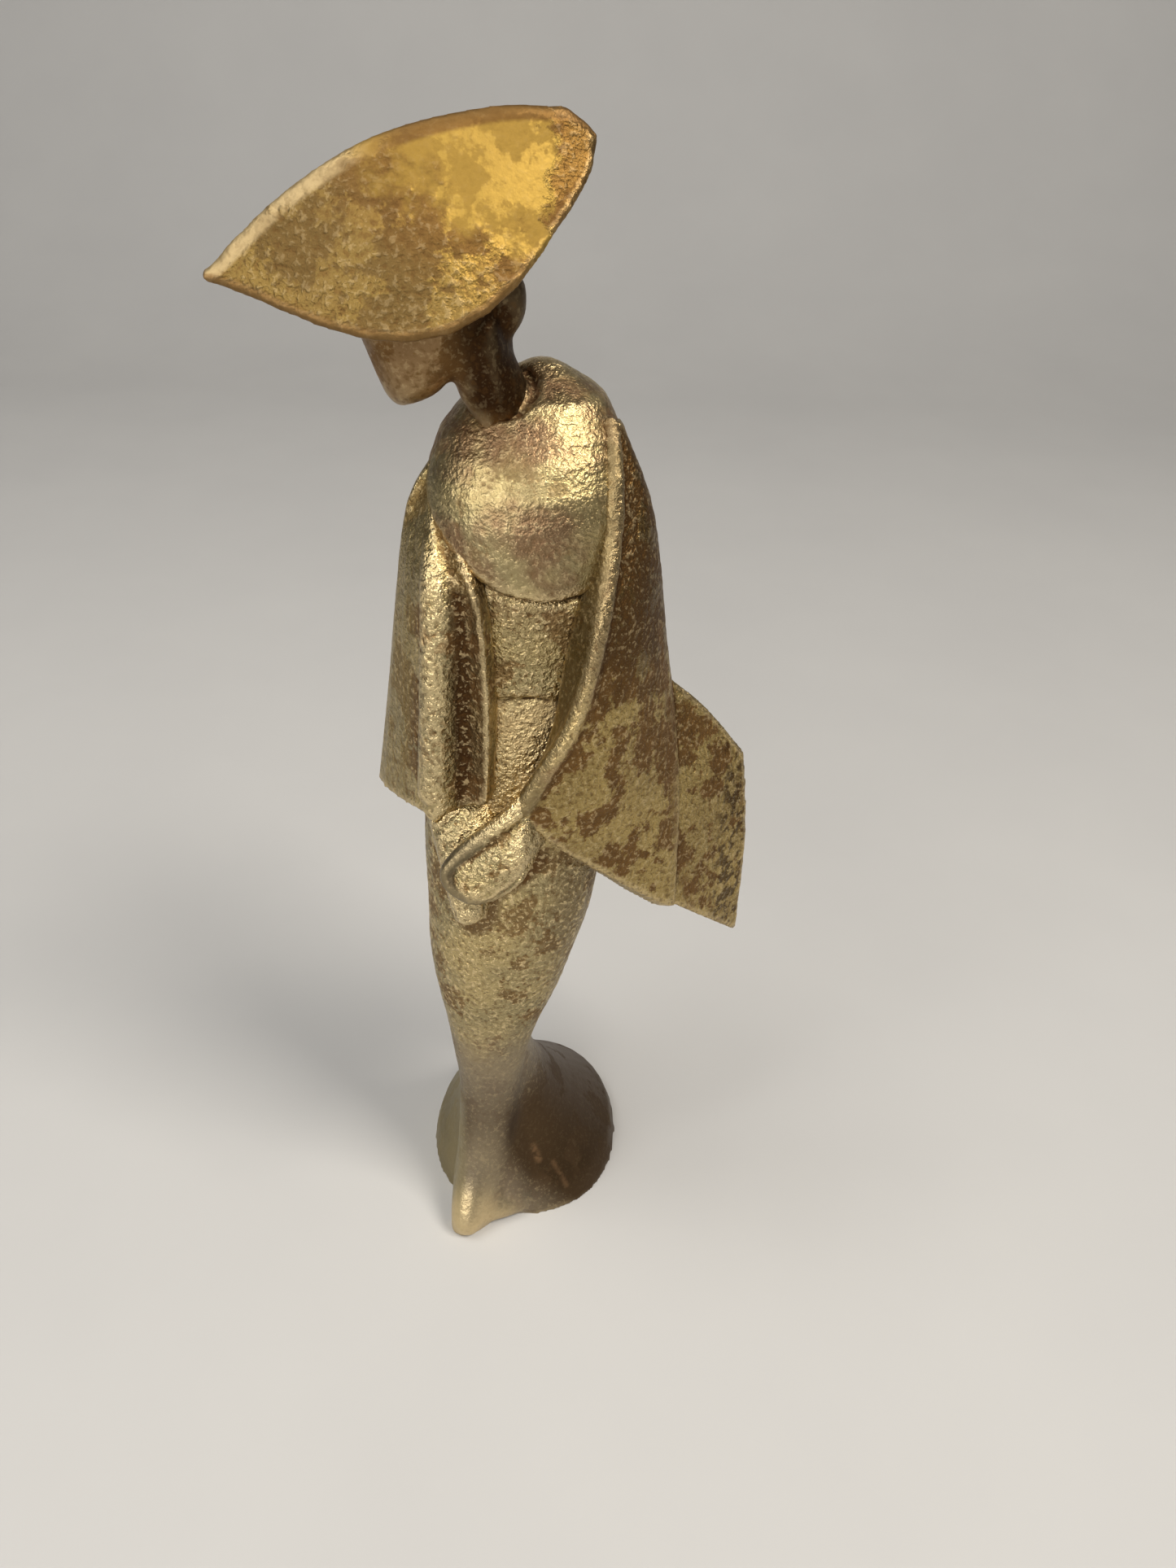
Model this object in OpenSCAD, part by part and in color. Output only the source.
// Souvenir figurine: a robed dancer with a bowed head under a folded straw hat.
// Hollow brass castings, doweled together, standing on the flared hem of the robe.
// The dancer faces -Y, +Z is up, and the origin is on the resting plane, under the
// middle of the whole figurine.

/* [Overall] */
// Height of the whole figurine, floor to the ridge of the hat
figure_h = 174; // [150:1:245]
// Width of the flared hem, side to side, on a 174 mm figurine
hem_w = 34.5; // [28:0.5:42]
// Length of the folded hat, tip to tip, on a 174 mm figurine
hat_len = 45.5; // [40:0.5:52]

/* [Castings] */
// Wall of the robe casting
wall = 2.6; // [2.2:0.1:3.2]
// Thickness of the free-hanging sleeve metal
sleeve_t = 2.8; // [2.4:0.1:3.4]
// Metal left round the hollow of the hat
hat_wall = 2.2; // [1.8:0.1:2.8]
// Air left between two castings that seat on each other
seat_gap = 0.08; // [0.05:0.01:0.15]

/* [Dowels and pins] */
// Diameter of the steel dowel up the neck
neck_dowel_d = 3; // [2.5:0.1:3.6]
// Diameter of the brass pin through the crown into the hat
hat_pin_d = 2; // [1.6:0.1:2.4]
// Diameter of the four sleeve dowels
sleeve_dowel_d = 2; // [1.6:0.1:2.4]
// Diameter of the pins behind the palms
hand_pin_d = 1.6; // [1.2:0.1:2]
// Room round a pin in its socket, on the diameter
pin_room = 0.1; // [0.06:0.02:0.2]

/* [Sole] */
// Thickness of the brass plate closing the hem
sole_t = 2; // [1.6:0.1:2.6]
// Thickness of the felt pad under the plate
felt_t = 1; // [0.8:0.1:1.2]
// Diameter of the screw thread
screw_d = 3; // [2.5:0.5:3.5]

/* [Hidden] */
// Every shape below is drawn for a 174 mm figurine and multiplied by this
k = figure_h / 174;
hem_k = hem_w / 34.5;
// Shapes are drawn about the ankle, then set over the middle of the figurine
ankle = [-3.1, -8.15, 0] * k;
sole_lift = 0.2;
plate_z = sole_lift + felt_t;
plate_room = 0.15;
// Width of the hem rim left standing round the sole plate
rim_t = wall - 0.3;
toe_floor = 4.5;
post_r = 3.6;
screw_head_d = 2 * screw_d;
screw_len = 9;
around = 36;

// ---- smooth curves through a few stations --------------------------------

function span_of(l, z, i = 0) =
    i >= len(l) - 2 || z < l[i + 1][0] ? i : span_of(l, z, i + 1);
function slope(l, i, c) =
    let (a = max(i - 1, 0), b = min(i + 1, len(l) - 1))
    (l[b][c] - l[a][c]) / (l[b][0] - l[a][0]);
function blend(p, q, mp, mq, t) =
    p * (2 * t * t * t - 3 * t * t + 1) + mp * (t * t * t - 2 * t * t + t)
    + q * (3 * t * t - 2 * t * t * t) + mq * (t * t * t - t * t);
// Column c of a station list at height z
function at(l, z, c) =
    let (i = span_of(l, z), h = l[i + 1][0] - l[i][0],
        t = min(max((z - l[i][0]) / h, 0), 1))
    blend(l[i][c], l[i + 1][c], slope(l, i, c) * h, slope(l, i + 1, c) * h, t);
// Point a fraction s along a row of points
function along(p, s) =
    let (m = len(p) - 1, i = min(floor(s * m), m - 1), t = s * m - i,
        before = i == 0 ? p[1] - p[0] : (p[i + 1] - p[i - 1]) / 2,
        after = i == m - 1 ? p[m] - p[m - 1] : (p[i + 2] - p[i]) / 2)
    blend(p[i], p[i + 1], before, after, t);
function unit(v) = v / max(norm(v), 0.000001);
function bulged(x, e) = sign(x) * pow(abs(x), e);

// ---- shapes built from those curves --------------------------------------

module placed() {
    translate(ankle) children();
}

// Rows of a closed tube become one solid with flat ends
module tube(rings) {
    n = len(rings[0]);
    m = len(rings);
    sides = [for (j = [0:m - 2], i = [0:n - 1], h = [0, 1])
        let (a = j * n + i, b = j * n + (i + 1) % n)
        h == 0 ? [a, a + n, b] : [b, a + n, b + n]];
    ends = [[for (i = [0:n - 1]) i], [for (i = [n - 1:-1:0]) (m - 1) * n + i]];
    polyhedron([for (r = rings) each r], concat(sides, ends), convexity = 8);
}

// Level outline of a garment: half width, front depth, back depth, front swing
function outline(l, z, grow, n) =
    [for (i = [0:n - 1])
        let (t = 360 * i / n, back = sin(t) > 0,
            reach = at(l, z, back ? 5 : 4) + grow,
            dy = reach * bulged(sin(t), 0.92),
            swing = back ? 0 : at(l, z, 6) * pow(-dy / reach, 2))
        [at(l, z, 1) + (at(l, z, 3) + grow) * bulged(cos(t), 0.92) + swing,
            at(l, z, 2) + dy, z]];
module garment(l, grow, z0, z1, rise, n = around) {
    m = ceil((z1 - z0) / rise);
    tube([for (j = [0:m]) outline(l, z0 + (z1 - z0) * j / m, grow, n)]);
}

// A skin stretched across named edges, with the metal behind it laid either
// towards the upright line through the body or square to the skin
function skin_point(edges, u, v) = along([for (e = edges) along(e, v)], u);
function skin_normal(edges, u, v) =
    let (d = 0.02, u0 = max(u - d, 0), u1 = min(u + d, 1),
        v0 = max(v - d, 0), v1 = min(v + d, 1))
    unit(cross(skin_point(edges, u1, v) - skin_point(edges, u0, v),
        skin_point(edges, u, v1) - skin_point(edges, u, v0)));
function inward(p) = unit([core[0] - p[0], core[1] - p[1], 0]);
module skin(edges, thick, nu, nv, square = false) {
    outer = [for (j = [0:nv], i = [0:nu]) skin_point(edges, i / nu, j / nv)];
    inner = [for (j = [0:nv], i = [0:nu])
        let (p = skin_point(edges, i / nu, j / nv))
        p + along(thick, j / nv)[0]
        * (square ? skin_normal(edges, i / nu, j / nv) : inward(p))];
    w = nu + 1;
    s = w * (nv + 1);
    rim = concat([for (i = [0:nu - 1]) i], [for (j = [0:nv - 1]) j * w + nu],
        [for (i = [nu:-1:1]) nv * w + i], [for (j = [nv:-1:1]) j * w]);
    faces = [for (j = [0:nv - 1], i = [0:nu - 1], h = [0:3])
        let (a = j * w + i, b = a + 1, c = a + w, d = c + 1)
        h == 0 ? [a, b, c] : h == 1 ? [b, d, c]
        : h == 2 ? [s + a, s + c, s + b] : [s + b, s + c, s + d]];
    walls = [for (i = [0:len(rim) - 1], h = [0, 1])
        let (a = rim[i], b = rim[(i + 1) % len(rim)])
        h == 0 ? [a, s + a, b] : [b, s + a, s + b]];
    polyhedron(concat(outer, inner), concat(faces, walls), convexity = 8);
}

// Round bead swept along a smooth row of points, fat or thin by radius r(s)
module bead(points, r0, r1, n, sides = 12) {
    for (i = [0:n - 1])
        hull() for (s = [i / n, (i + 1) / n])
            translate(along(points, s))
                sphere(r0 + (r1 - r0) * s, $fn = sides);
}

// Straight round rod from p to q
module rod(p, q, d, d2 = -1) {
    v = q - p;
    translate(p)
        rotate([0, acos(v[2] / norm(v)), atan2(v[1], v[0])])
            cylinder(h = norm(v), d1 = d, d2 = d2 < 0 ? d : d2, $fn = 32);
}

// ---- robe ----------------------------------------------------------------

// height, centre x, centre y, half width, front depth, back depth, front swing
body = [
    [0, -5.2, -5, 4.4, 8.6, 8, -2],
    [1.5, -5.2, -5, 4.8, 9.2, 8, -2],
    [6, -5.1, -4.6, 4.8, 8.2, 8, -1.6],
    [12, -4.5, -4, 4.7, 6.2, 7, -0.8],
    [20, -3.7, -3, 5, 5.2, 6.4, -0.2],
    [30, -3.1, -2, 5.4, 5.3, 6.4, 0],
    [37, -2.9, -1.5, 6.4, 5.9, 7.2, 0],
    [43, -2.4, -1, 7.7, 6.7, 8.4, 0],
    [50, -1.6, -0.5, 9.8, 7.6, 9.8, 0],
    [58, -0.8, 0, 11.4, 8.7, 11, 0],
    [66, 0.4, 0.5, 12.5, 9.4, 11.8, 0],
    [78, 1.1, 1.5, 13.3, 9.6, 12, 0],
    [95, 1.8, 2, 12.6, 8.8, 10.8, 0],
    [108, 2.6, 2.5, 11.9, 8.4, 9.8, 0],
    [118, 3.1, 2.5, 12.4, 8.8, 10, 0],
    [129, 3.3, 3, 13, 9.4, 11, 0],
    [135, 3.4, 3.8, 12.4, 9, 11.4, 0],
    [139.4, 3.8, 4.8, 10.6, 7.6, 10.6, 0],
    [143.2, 4.6, 6, 7.4, 5.4, 8, 0],
    [145.2, 5, 6.8, 4, 3, 4.6, 0],
    [146, 5.1, 7, 1.2, 1, 1.4, 0],
] * k;
// Loose upper robe, folded over the sash
blouse = [
    [114, 3.1, 2.6, 12.7, 10.4, 10.3, 0],
    [122, 3.2, 2.7, 13, 11.2, 10.6, 0],
    [129, 3.3, 3, 13.2, 11.2, 11.2, 0],
    [135, 3.4, 3.8, 12.4, 9.8, 11.4, 0],
    [140, 3.9, 5, 9.8, 7, 10, 0],
] * k;
hem_shape = [
    [0, 1.9, 11, 17, 19.8, 20.8, 0],
    [1.5, 1.9, 11, 17.25, 20, 21, 0],
    [4, 1.8, 10.6, 15.6, 18.2, 19.4, 0],
    [9, 1.3, 9.4, 12.4, 14.6, 15.6, 0],
    [16, 0.2, 7.2, 9, 10.8, 11.6, 0],
    [25, -1.4, 4.2, 6.2, 7.6, 8.2, 0],
    [35, -2.2, 2.4, 4.8, 6, 6.6, 0],
    [44, -2, 1.6, 4, 5, 5.6, 0],
] * k;
// The hem can be flared wider or narrower without touching the skirt
hem = [for (r = hem_shape)
    let (f = 1 + (hem_k - 1) * max(0, 1 - r[0] / (40 * k)))
    [r[0], r[1], r[2], r[3] * f, r[4] * f, r[5] * f, r[6]]];
// The fold hangs in a shallow arc, low on the dancer's left
fold_centre = [6.5, 137] * k;
core = [3, 3] * k;
fold_r = 17 * k;
function front_y(x, depth) =
    2.6 * k - depth * sqrt(max(0, 1 - pow((x - 3.1 * k) / (12.9 * k), 2)));
fold_groove = [for (a = [212:12:284])
    let (x = fold_centre[0] + (fold_r + 0.4 * k) * cos(a))
    [x, front_y(x, 9.7 * k), fold_centre[1] + (fold_r + 0.4 * k) * sin(a)]];
sash_foot = [for (x = [-4:4:12])
    [x * k, front_y(x * k, 8.7 * k), 105 * k]];
post_top = 24 * k;
post_at = [1.2, 8] * k;

module robe_body(grow) {
    garment(body, grow, 0, 146 * k, 4 * k);
    intersection() {
        garment(blouse, grow, 114 * k, 140 * k, 4 * k);
        translate([fold_centre[0], 0, fold_centre[1]])
            rotate([90, 0, 0])
                cylinder(h = 60 * k, r = fold_r + grow, center = true, $fn = 72);
    }
    garment(body, grow + 0.6 * k, 105.2 * k, 122 * k, 4.4 * k);
}
module robe_flare(grow) {
    garment(hem, grow, 0, 44 * k, 3.4 * k);
}
module robe_outside(grow) {
    robe_body(grow);
    robe_flare(grow);
}
module robe_hollow() {
    garment(body, -wall, toe_floor, 121 * k, 6 * k, 24);
    garment(hem, -wall, -1, 38 * k, 4.4 * k, 32);
    linear_extrude(plate_z + sole_t)
        polygon(sole_outline(-rim_t));
}

module robe() {
    color("#8f6a35")
    placed() difference() {
        union() {
            difference() {
                robe_outside(0);
                robe_hollow();
            }
            intersection() {
                translate([post_at[0], post_at[1], plate_z + sole_t])
                    cylinder(h = post_top, r = post_r, $fn = 32);
                robe_flare(-wall / 2);
            }
        }
        bead(fold_groove, 0.7 * k, 0.7 * k, 9, 8);
        bead(sash_foot, 0.5 * k, 0.5 * k, 5, 8);
        sockets_in_robe();
        head_form(seat_gap);
    }
}
module sockets_in_robe() {
    rod(neck_foot, neck_head, neck_dowel_d + pin_room);
    for (p = right_dowels) rod(p[0], p[1], sleeve_dowel_d + pin_room);
    for (p = left_dowels) rod(p[0], p[1], sleeve_dowel_d + pin_room);
    rod(right_palm[1], right_palm[0], hand_pin_d + pin_room);
    rod(left_palm[1], left_palm[0], hand_pin_d + pin_room);
    translate([post_at[0], post_at[1], 0])
        cylinder(h = plate_z + screw_len + 1, d = screw_d + pin_room, $fn = 32);
}

// ---- head ----------------------------------------------------------------

head_at = [-7.2, 0.2, 153.2] * k;
head_turn = 12;
head_bow = 18;
// height, centre x, centre y, half length, front and back width, swing
skull = [
    [-9.2, -5.6, 0, 2.6, 2, 2, 0],
    [-8.4, -5.1, 0, 3.7, 3.1, 3.1, 0],
    [-6, -3.3, 0, 5.8, 4.6, 4.6, 0],
    [-2, -1.4, 0, 7.8, 5.8, 5.8, 0],
    [2, -0.5, 0, 8.7, 6.5, 6.5, 0],
    [6, 0, 0, 8.1, 6, 6, 0],
    [9, 0.3, 0, 5.8, 4.4, 4.4, 0],
    [10.6, 0.4, 0, 2.4, 1.9, 1.9, 0],
] * k;
neck_line = [[1.6, 4.4, 137], [0.8, 3.2, 141.5], [-0.6, 1.8, 145.5],
    [-2.4, 0.8, 150]] * k;
bun_line = [[1.8, 2, 154.6], [2.2, 2.2, 152.6], [1.2, 2, 150.4]] * k;
neck_foot = [3, 5.4, 126] * k;
neck_head = [-3, 0.8, 152] * k;
hat_pin_foot = [-7, 0.2, 156] * k;
hat_pin_top = [-6.2, 0.5, 169] * k;

module head_frame() {
    translate(head_at)
        rotate([0, 0, head_turn])
            rotate([0, -head_bow, 0]) children();
}
module head_form(grow) {
    head_frame() garment(skull, grow, -9.2 * k, 10.6 * k, 1.6 * k, 28);
    bead(neck_line, 4.6 * k + grow, 4.2 * k + grow, 5, 20);
    bead(bun_line, 3 * k + grow, 2 * k + grow, 4, 16);
}
module head() {
    color("#7d5530")
    placed() difference() {
        head_form(0);
        rod(neck_foot, neck_head, neck_dowel_d + pin_room);
        rod(hat_pin_foot, hat_pin_top, hat_pin_d + pin_room);
    }
}

// ---- hat -----------------------------------------------------------------

hat_at = [-10.2, -0.4, 164] * k;
hat_azimuth = 13.3;
hat_rise = 17.3;
half_len = hat_len / 2 * k;
ridge_up = 7 * k;
brim_down = 11.6 * k;
brim_out = 10.6 * k;
// The folded hat is pointed at the brow (s = -1) and blunt behind (s = 1)
function leaf(s, front, back) =
    pow(1 - pow(abs(s), s < 0 ? front[0] : back[0]), s < 0 ? front[1] : back[1]);
function ridge(s) = ridge_up * leaf(s, [1.6, 0.9], [2.8, 0.6]);
function brim(s) = leaf(s, [2, 1.25], [1.9, 1.05]);
// Half of the folded section, from the ridge down to the brim
function hat_half(s, inset) =
    let (r = ridge(s) - 2.3 * inset, d = brim_down * brim(s) + (inset > 0 ? 1 : 0),
        o = max(brim_out * brim(s) - inset, 0.2), b = 1 - abs(s) * 0.6)
    [[0.4 * b * k, r], [1.7 * b * k, r - 1.1 * b * k],
        [max(0.36 * o, 1.8 * b * k) + 0.5 * b * k, r - 0.3 * (r + d)],
        [max(0.72 * o, 1.9 * b * k) + 0.5 * b * k, r - 0.66 * (r + d)],
        [max(0.93 * o, 1.9 * b * k), r - 0.9 * (r + d)],
        [max(o, 1.8 * b * k), -d]];
function hat_ring(s, inset) =
    let (h = hat_half(s, inset), n = len(h))
    [for (i = [0:2 * n - 1])
        let (p = i < n ? h[n - 1 - i] : h[i - n], side = i < n ? 1 : -1)
        [half_len * s, side * p[0], p[1]]];
module hat_frame() {
    translate(hat_at)
        rotate([0, 0, hat_azimuth])
            rotate([0, -hat_rise, 0]) children();
}
function hat_stop(j, m) = 0.985 * sin(-90 + 180 * j / m);
function brim_row(side) =
    [for (j = [1:19]) let (s = hat_stop(j, 20))
        [half_len * s, side * max(brim_out * brim(s) - 0.5 * k, 0.9 * k),
            -brim_down * brim(s) + 0.4 * k]];
module hat() {
    color("#a8823a")
    placed() difference() {
        hat_frame() {
            tube([for (j = [0:34]) hat_ring(hat_stop(j, 34), 0)]);
            for (side = [-1, 1])
                bead(brim_row(side), 0.75 * k, 0.75 * k, 14, 8);
        }
        hat_frame()
            tube([for (j = [4:26]) hat_ring(hat_stop(j, 30) * 0.94, hat_wall)]);
        head_form(seat_gap);
        rod(hat_pin_foot, hat_pin_top, hat_pin_d + pin_room);
    }
}

// ---- sleeves -------------------------------------------------------------

// Right sleeve: inner lip, scooped channel, front ridge, outer face, back edge
right_lip = [[-5.6, -4.4, 136], [-5.4, -7.4, 128.4], [-2.4, -9.2, 120],
    [-1.5, -9.4, 110], [-1.4, -9.6, 100], [-1.8, -10.2, 90.2]] * k;
right_channel = [[-7, -3, 136.4], [-7.1, -6, 127.6], [-4.8, -7.6, 118.6],
    [-4.8, -7.4, 106], [-5, -7.6, 96], [-5.4, -8.4, 88.4]] * k;
right_ridge = [[-8.2, -2, 136.6], [-8.8, -5.6, 128], [-8.4, -8, 118.6],
    [-8.6, -8.8, 106.6], [-9.1, -9, 96.6], [-9.7, -9.2, 87.6]] * k;
right_face = [[-10, 3, 136.6], [-12.9, 2.4, 125.6], [-14.6, 2, 114.6],
    [-16, 2, 103.4], [-17.3, 2, 93.8], [-18.6, 2.6, 84.8]] * k;
right_back = [[-6.4, 11, 136.6], [-9.4, 13.4, 125.6], [-11.8, 13.6, 114.6],
    [-14, 13, 103.4], [-16, 12, 93.8], [-18.4, 11, 84.2]] * k;
right_thick = [[4.6], [5], [5.6], [5], [3.4], [sleeve_t / k]] * k;

// Left sleeve: front edge, middle of the front panel, side fold, back of the arm
left_edge = [[12.6, -2, 139.4], [13.4, -6, 134.2], [13.4, -8.4, 126.8],
    [12, -9.8, 116.2], [9.6, -10.8, 105], [6, -11.6, 97.2],
    [2.4, -12, 90.6]] * k;
left_panel = [[14.2, 0.6, 139.6], [16.8, -2, 131.8], [18, -3.6, 122.8],
    [18.7, -4.2, 111.4], [17.2, -6, 100], [13.8, -8, 89.4],
    [8.2, -9.6, 82.6]] * k;
left_fold = [[14.8, 4, 139.6], [19, 4, 129.6], [20.8, 4, 120.6],
    [22.2, 4, 109.8], [23.6, 2, 98], [24.8, 1, 83.4],
    [24.8, 0, 65]] * k;
left_back = [[12.4, 10.6, 139], [16.4, 12.8, 129.4], [18.6, 13.6, 120.4],
    [20.6, 12.6, 110.4], [23.4, 8.4, 100], [25, 4.4, 84],
    [25.2, 2.8, 65]] * k;
left_thick = [[4.6], [5], [5.4], [6.6], [4.6], [sleeve_t / k],
    [sleeve_t / k]] * k;

// Rear panel of the left sleeve, swung out and back from the side fold
panel_fold = [[21.6, 6.4, 103], [23.8, 3.4, 86.2], [24.6, 1, 65]] * k;
panel_mid = [[29.2, 10.4, 94.6], [30.9, 8.4, 79.2], [31.4, 6.2, 57.6]] * k;
panel_out = [[36.2, 14, 84.4], [37.8, 13, 68.8], [37.6, 12, 50]] * k;
panel_thick = [[3], [sleeve_t / k], [sleeve_t / k]] * k;

right_dowels = [
    [[-11.8, 5, 124] * k, [-6, 5, 124] * k],
    [[-12.6, 5, 112] * k, [-6, 5, 112] * k]];
left_dowels = [
    [[18.4, 5, 124] * k, [12.4, 5, 124] * k],
    [[19, 5, 113] * k, [11.8, 5, 113] * k]];

module right_sleeve_form() {
    skin([right_back, right_face, right_ridge, right_channel, right_lip],
        right_thick, 14, 15);
    bead([for (p = right_ridge) p + [0.6, 1.4, 0] * k], 1.2 * k, 1.7 * k, 9, 10);
}
module left_sleeve_form() {
    skin([left_edge, left_panel, left_fold, left_back], left_thick, 12, 18);
    skin([panel_fold, panel_mid, panel_out], panel_thick, 6, 7, square = true);
    bead([for (p = left_edge) p + [0.9, 1, 0.2] * k], 1.1 * k, 1.5 * k, 11, 10);
}
module right_sleeve() {
    color("#9a7636")
    placed() difference() {
        right_sleeve_form();
        robe_outside(seat_gap);
        for (p = right_dowels) rod(p[0], p[1], sleeve_dowel_d + pin_room);
    }
}
module left_sleeve() {
    color("#9c7434")
    placed() difference() {
        left_sleeve_form();
        robe_outside(seat_gap);
        for (p = left_dowels) rod(p[0], p[1], sleeve_dowel_d + pin_room);
    }
}

// ---- hands ---------------------------------------------------------------

left_hand_line = [[5.6, -10.2, 88.6], [3, -11.6, 86], [-0.6, -12.5, 82.4],
    [-3.4, -12.9, 80]] * k;
right_hand_line = [[-7.6, -6.4, 89], [-7, -7.6, 83], [-5.6, -8.8, 77],
    [-4.4, -9.4, 71.8]] * k;
left_palm = [[1, -12.4, 83.4] * k, [1, -5.6, 83.4] * k];
right_palm = [[-6.2, -9.6, 79] * k, [-6.2, -3.6, 79] * k];

// Flat mitten shape: round pads along the back of the hand, cast deep enough
// to reach the robe behind it
module mitten(line, r0, r1, thick, n, deep, grow = 0) {
    for (i = [0:n - 1])
        hull() for (s = [i / n, (i + 1) / n], back = [0, deep])
            let (r = r0 + (r1 - r0) * s + grow)
            translate(along(line, s) + [0, back, -back / 4])
                rotate([62, 0, 0])
                    scale([1, 1, (thick / 2 + grow) / r])
                        sphere(r, $fn = 14);
}
module right_hand_form(grow) {
    mitten(right_hand_line, 3 * k, 2.6 * k, 4.4 * k, 8, 2 * k, grow);
}
module left_hand() {
    color("#94723a")
    placed() difference() {
        mitten(left_hand_line, 3.6 * k, 4.2 * k, 4 * k, 8, 4 * k);
        robe_outside(seat_gap);
        right_hand_form(seat_gap);
        left_sleeve_form();
        rod(left_palm[0], left_palm[1], hand_pin_d + pin_room);
    }
}
module right_hand() {
    color("#86643a")
    placed() difference() {
        right_hand_form(0);
        robe_outside(seat_gap);
        right_sleeve_form();
        rod(right_palm[0], right_palm[1], hand_pin_d + pin_room);
    }
}

// ---- dowels and pins -----------------------------------------------------

module neck_dowel() {
    color("#b8b8b8") placed() rod(neck_foot, neck_head, neck_dowel_d);
}
module hat_pin() {
    color("#b89a52") placed() rod(hat_pin_foot, hat_pin_top, hat_pin_d);
}
module sleeve_dowel(ends) {
    color("#b8b8b8") placed() rod(ends[0], ends[1], sleeve_dowel_d);
}
module right_sleeve_dowel_upper() sleeve_dowel(right_dowels[0]);
module right_sleeve_dowel_lower() sleeve_dowel(right_dowels[1]);
module left_sleeve_dowel_upper() sleeve_dowel(left_dowels[0]);
module left_sleeve_dowel_lower() sleeve_dowel(left_dowels[1]);
module right_hand_pin() {
    color("#b89a52") placed() rod(right_palm[0], right_palm[1], hand_pin_d);
}
module left_hand_pin() {
    color("#b89a52") placed() rod(left_palm[0], left_palm[1], hand_pin_d);
}

// ---- sole ----------------------------------------------------------------

function sole_outline(inset) =
    [for (p = outline(hem, 0, inset, 48)) [p[0], p[1]]];
module sole_plate() {
    color("#b08d45")
    placed() difference() {
        translate([0, 0, plate_z])
            linear_extrude(sole_t)
                polygon(sole_outline(-rim_t - plate_room));
        translate([post_at[0], post_at[1], plate_z - 1])
            cylinder(h = sole_t + 2, d = screw_d + 0.3, $fn = 32);
        translate([post_at[0], post_at[1], plate_z - 0.01])
            cylinder(h = screw_d / 2, d1 = screw_head_d + 0.2, d2 = screw_d + 0.2,
                $fn = 32);
    }
}
module sole_screw() {
    color("#c0c0c0")
    placed() translate([post_at[0], post_at[1], plate_z]) {
        cylinder(h = screw_d / 2, d1 = screw_head_d - 0.2, d2 = screw_d, $fn = 32);
        cylinder(h = screw_len, d = screw_d, $fn = 32);
    }
}
module felt_pad() {
    color("#3d4a3c")
    placed() translate([0, 0, sole_lift])
        linear_extrude(felt_t)
            polygon(sole_outline(-rim_t - 1));
}

robe();
head();
hat();
right_sleeve();
left_sleeve();
right_hand();
left_hand();
neck_dowel();
hat_pin();
right_sleeve_dowel_upper();
right_sleeve_dowel_lower();
left_sleeve_dowel_upper();
left_sleeve_dowel_lower();
right_hand_pin();
left_hand_pin();
sole_plate();
sole_screw();
felt_pad();
